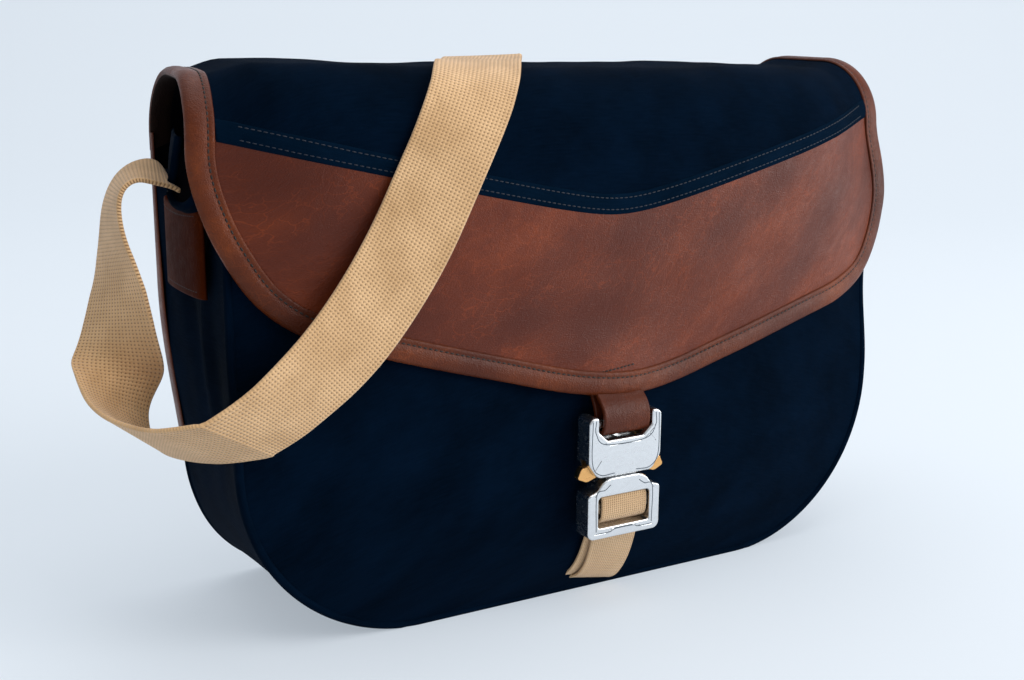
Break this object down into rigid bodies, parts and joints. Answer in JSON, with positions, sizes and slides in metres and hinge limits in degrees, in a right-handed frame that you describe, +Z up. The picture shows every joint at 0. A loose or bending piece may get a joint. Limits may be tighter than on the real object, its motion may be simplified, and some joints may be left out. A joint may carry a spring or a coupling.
{
  "type": "messenger bag",
  "caption": "Canvas messenger bag with a leather-fronted, bound flap, a side-release metal buckle on a leather tab and a webbing shoulder strap looped over the flap.",
  "frame": {"origin": "middle of the bag's base, under the middle of its bounding box with the shoulder strap left out", "axes": "+Z up, +X to the bag's right as seen from the front, -Y the way the flap's front faces"},
  "size_m": [0.4474, 0.1443, 0.2557],
  "materials": {
    "canvas": "close-woven heavy canvas",
    "lining": "thin plain weave",
    "leather": "oiled, slightly pulled-up",
    "webbing": "basket-weave webbing",
    "buckle_metal": "satin cast metal",
    "brass": "polished",
    "steel": "spring wire",
    "stiffener_board": "matte board"
  },
  "bodies": {
    "bag": {"front_panel": "canvas", "base_panel": "canvas", "back_panel": "canvas", "gusset_left": "canvas", "gusset_right": "canvas", "lining_left": "lining", "lining_right": "lining", "lining_front": "lining", "lining_back": "lining", "back_binding_left": "leather", "back_binding_right": "leather", "strap_keeper_left": "leather", "strap_keeper_right": "leather", "front_piping": "canvas", "base_stiffener": "stiffener_board", "inner_pocket": "lining", "closure_webbing": "webbing", "strap_loop": "webbing", "strap_back": "webbing"},
    "flap_crown": {"crown_canvas": "canvas", "crown_lining": "lining", "crown_binding_left": "leather", "crown_binding_right": "leather", "strap_over": "webbing"},
    "flap_front": {"flap_leather_panel": "leather", "flap_yoke": "canvas", "flap_lining": "lining", "flap_binding": "leather", "closure_tab": "leather", "socket_front": "buckle_metal", "socket_back": "buckle_metal", "socket_cross_bar": "buckle_metal", "clip_spring_left": "steel", "clip_spring_right": "steel", "strap_front": "webbing"},
    "clip_left": {"release_clip_left": "brass"},
    "clip_right": {"release_clip_right": "brass"},
    "plug": {"buckle_plug": "buckle_metal"},
    "adjuster": {"adjuster_bar": "buckle_metal"}
  },
  "joints": [
    {"name": "flap_open", "type": "hinge", "parent": "bag", "child": "flap_crown", "pos_m": [0, 0.067, 0.2165], "axis": [-1, 0, 0], "range_deg": [0, 110], "deforming": ["strap_loop", "strap_back", "strap_over", "strap_front"]},
    {"name": "flap_lift", "type": "hinge", "parent": "flap_crown", "child": "flap_front", "pos_m": [0, -0.0575, 0.2175], "axis": [-1, 0, 0], "range_deg": [0, 90], "deforming": ["strap_front", "strap_over"]},
    {"name": "plug_release", "type": "slide", "parent": "bag", "child": "plug", "axis": [0, 0, -1], "range_m": [0, 0.016], "deforming": ["closure_webbing"]},
    {"name": "clip_left_press", "type": "slide", "parent": "flap_front", "child": "clip_left", "axis": [1, 0, 0], "range_m": [0, 0.0025], "stiffness_N_per_m": 400, "springref_m": -0.001, "deforming": ["clip_spring_left"]},
    {"name": "clip_right_press", "type": "slide", "parent": "flap_front", "child": "clip_right", "axis": [-1, 0, 0], "range_m": [0, 0.0025], "stiffness_N_per_m": 400, "springref_m": -0.001, "deforming": ["clip_spring_right"]},
    {"name": "adjuster_slide", "type": "slide", "parent": "plug", "child": "adjuster", "axis": [0, 0, 1], "range_m": [0, 0.0012], "deforming": ["closure_webbing"]}
  ]
}
